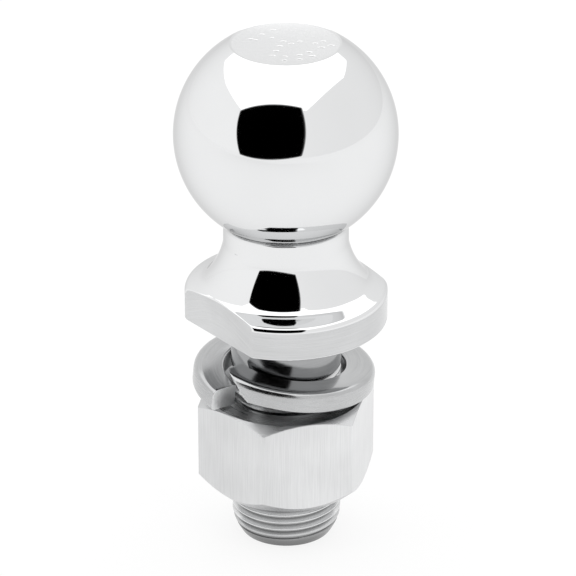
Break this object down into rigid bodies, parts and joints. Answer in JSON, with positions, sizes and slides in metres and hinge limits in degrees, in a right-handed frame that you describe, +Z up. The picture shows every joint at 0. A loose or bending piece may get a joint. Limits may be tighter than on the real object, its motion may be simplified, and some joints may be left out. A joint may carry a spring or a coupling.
{
  "type": "trailer hitch ball",
  "caption": "Chrome trailer hitch ball: a ball on a waisted neck and a collar with wrench flats, on a threaded shank with a split lock washer and a hex nut.",
  "frame": {"origin": "on the shank's axis, in the plane of the shank's lower end", "axes": "+Z up along the shank to the ball, -Y to the front, where the washer's split is to the left; the front wrench flat faces 52 degrees left of the front"},
  "size_m": [0.0508, 0.0508, 0.1226],
  "materials": {
    "bright_chrome": "polished mirror chrome on the ball, neck and flare, fine turning marks on the collar's rim, the shank and the thread",
    "bright_zinc": "bright zinc plate over rolled bar, glossy rounded edges",
    "satin_zinc": "satin zinc plate with fine upright grain on the flats"
  },
  "bodies": {
    "ball_stud": {"ball_stud": "bright_chrome"},
    "lock_washer": {"lock_washer": "bright_zinc"},
    "hex_nut": {"hex_nut": "satin_zinc"}
  },
  "joints": [
    {"name": "washer_travel", "type": "slide", "parent": "ball_stud", "child": "lock_washer", "axis": [0, 0, 1], "range_m": [-0.0124, 0.0072]},
    {"name": "nut_turn", "type": "hinge", "parent": "lock_washer", "child": "hex_nut", "pos_m": [0, 0, 0.024], "axis": [0, 0, 1], "range_deg": [-2440, 1410]}
  ],
  "couplings": [
    {"joint": "washer_travel", "follows": "nut_turn", "m_per_rad": 0.00028875}
  ]
}
